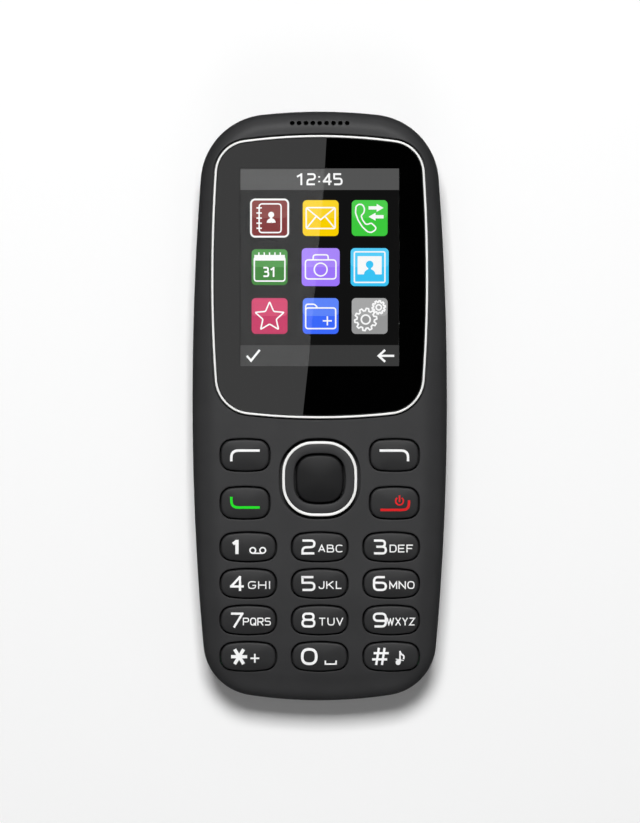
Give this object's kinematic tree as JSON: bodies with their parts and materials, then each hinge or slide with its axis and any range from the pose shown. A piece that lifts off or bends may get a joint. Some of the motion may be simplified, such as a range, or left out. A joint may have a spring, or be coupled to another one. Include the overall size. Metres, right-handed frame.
{
  "type": "feature phone",
  "caption": "Slim bar-shaped keypad phone with a rounded display window, a square navigation ring, pill-shaped number keys and a removable rear cover over a battery bay.",
  "frame": {"origin": "middle of the flat back, on the face that the phone lies on", "axes": "+X to the right seen from the front, +Y from the chin to the earpiece end, +Z out of the display"},
  "size_m": [0.0474, 0.11, 0.0137],
  "materials": {
    "dark_plastic": "satin moulded plastic",
    "cover_plastic": "fine texture moulded plastic",
    "key_plastic": "half gloss painted plastic",
    "window": "clear window, black printed edge",
    "white_line": "white plastic line",
    "display": "liquid crystal display",
    "frame_plastic": "white backlight frame",
    "foam": "foam",
    "flex": "amber film",
    "board": "green solder mask",
    "black_parts": "black plastic",
    "mesh": "woven mesh",
    "silicone": "translucent silicone",
    "dome_film": "clear film over steel domes",
    "lamp": "white lamp",
    "steel": "bright steel",
    "tungsten": "sintered metal",
    "battery_film": "printed film",
    "gold": "gold plated",
    "socket_steel": "plated sheet steel"
  },
  "bodies": {
    "phone": {"front_housing": "dark_plastic", "rear_housing": "dark_plastic", "main_board": "board", "window_lens": "window", "window_trim": "white_line", "display_panel": "display", "display_frame": "frame_plastic", "display_gasket": "foam", "display_flex": "flex", "earpiece": "black_parts", "earpiece_mesh": "mesh", "dome_sheet": "dome_film", "key_mat": "silicone", "key_lamps": "lamp", "screws": "steel", "battery_connector": "black_parts", "sim_sockets": "socket_steel", "memory_socket": "socket_steel", "headphone_socket": "black_parts", "charging_socket": "socket_steel", "microphone": "gold", "speaker": "black_parts", "speaker_mesh": "mesh", "camera_module": "black_parts", "camera_window": "window", "vibration_motor": "steel", "shield_can": "socket_steel", "aerial": "gold"},
    "rear_cover": {"rear_cover": "cover_plastic"},
    "battery": {"battery": "battery_film", "battery_cap": "black_parts", "battery_contacts": "gold"},
    "nav_rocker": {"nav_rocker": "silicone"},
    "nav_ring": {"nav_ring": "dark_plastic", "nav_trim": "white_line"},
    "select_key": {"select_key": "key_plastic"},
    "vibration_weight": {"vibration_weight": "tungsten"},
    "key_1": {"key_1": "key_plastic"},
    "key_2": {"key_2": "key_plastic"},
    "key_3": {"key_3": "key_plastic"},
    "key_4": {"key_4": "key_plastic"},
    "key_5": {"key_5": "key_plastic"},
    "key_6": {"key_6": "key_plastic"},
    "key_7": {"key_7": "key_plastic"},
    "key_8": {"key_8": "key_plastic"},
    "key_9": {"key_9": "key_plastic"},
    "key_star": {"key_star": "key_plastic"},
    "key_0": {"key_0": "key_plastic"},
    "key_hash": {"key_hash": "key_plastic"},
    "soft_key_left": {"soft_key_left": "key_plastic"},
    "soft_key_right": {"soft_key_right": "key_plastic"},
    "call_key": {"call_key": "key_plastic"},
    "end_key": {"end_key": "key_plastic"}
  },
  "joints": [
    {"name": "soft_key_left_press", "type": "slide", "parent": "phone", "child": "soft_key_left", "axis": [0, 0, -1], "range_m": [0, 0.00035], "stiffness_N_per_m": 4000},
    {"name": "soft_key_right_press", "type": "slide", "parent": "phone", "child": "soft_key_right", "axis": [0, 0, -1], "range_m": [0, 0.00035], "stiffness_N_per_m": 4000},
    {"name": "call_key_press", "type": "slide", "parent": "phone", "child": "call_key", "axis": [0, 0, -1], "range_m": [0, 0.00035], "stiffness_N_per_m": 4000},
    {"name": "end_key_press", "type": "slide", "parent": "phone", "child": "end_key", "axis": [0, 0, -1], "range_m": [0, 0.00035], "stiffness_N_per_m": 4000},
    {"name": "key_1_press", "type": "slide", "parent": "phone", "child": "key_1", "axis": [0, 0, -1], "range_m": [0, 0.00035], "stiffness_N_per_m": 4000},
    {"name": "key_2_press", "type": "slide", "parent": "phone", "child": "key_2", "axis": [0, 0, -1], "range_m": [0, 0.00035], "stiffness_N_per_m": 4000},
    {"name": "key_3_press", "type": "slide", "parent": "phone", "child": "key_3", "axis": [0, 0, -1], "range_m": [0, 0.00035], "stiffness_N_per_m": 4000},
    {"name": "key_4_press", "type": "slide", "parent": "phone", "child": "key_4", "axis": [0, 0, -1], "range_m": [0, 0.00035], "stiffness_N_per_m": 4000},
    {"name": "key_5_press", "type": "slide", "parent": "phone", "child": "key_5", "axis": [0, 0, -1], "range_m": [0, 0.00035], "stiffness_N_per_m": 4000},
    {"name": "key_6_press", "type": "slide", "parent": "phone", "child": "key_6", "axis": [0, 0, -1], "range_m": [0, 0.00035], "stiffness_N_per_m": 4000},
    {"name": "key_7_press", "type": "slide", "parent": "phone", "child": "key_7", "axis": [0, 0, -1], "range_m": [0, 0.00035], "stiffness_N_per_m": 4000},
    {"name": "key_8_press", "type": "slide", "parent": "phone", "child": "key_8", "axis": [0, 0, -1], "range_m": [0, 0.00035], "stiffness_N_per_m": 4000},
    {"name": "key_9_press", "type": "slide", "parent": "phone", "child": "key_9", "axis": [0, 0, -1], "range_m": [0, 0.00035], "stiffness_N_per_m": 4000},
    {"name": "key_star_press", "type": "slide", "parent": "phone", "child": "key_star", "axis": [0, 0, -1], "range_m": [0, 0.00035], "stiffness_N_per_m": 4000},
    {"name": "key_0_press", "type": "slide", "parent": "phone", "child": "key_0", "axis": [0, 0, -1], "range_m": [0, 0.00035], "stiffness_N_per_m": 4000},
    {"name": "key_hash_press", "type": "slide", "parent": "phone", "child": "key_hash", "axis": [0, 0, -1], "range_m": [0, 0.00035], "stiffness_N_per_m": 4000},
    {"name": "select_key_press", "type": "slide", "parent": "phone", "child": "select_key", "axis": [0, 0, -1], "range_m": [0, 0.00035], "stiffness_N_per_m": 4000},
    {"name": "nav_up_down", "type": "hinge", "parent": "phone", "child": "nav_rocker", "pos_m": [0, -0.0135, 0.01025], "axis": [1, 0, 0], "range_deg": [-2, 2], "stiffness_Nm_per_rad": 0.24},
    {"name": "nav_left_right", "type": "hinge", "parent": "nav_rocker", "child": "nav_ring", "pos_m": [0, -0.0135, 0.0109], "axis": [0, 1, 0], "range_deg": [-2, 2], "stiffness_Nm_per_rad": 0.24},
    {"name": "cover_lift", "type": "slide", "parent": "phone", "child": "rear_cover", "axis": [0, 0, -1], "range_m": [0, 0.03]},
    {"name": "battery_lift", "type": "slide", "parent": "phone", "child": "battery", "axis": [0, 0, -1], "range_m": [0, 0.015]},
    {"name": "motor_spin", "type": "hinge", "parent": "phone", "child": "vibration_weight", "pos_m": [0.0123, 0.03, 0.00555], "axis": [1, 0, 0], "continuous": true}
  ],
  "couplings": [
    {"joint": "battery_lift", "follows": "cover_lift", "ratio": 0.5}
  ]
}
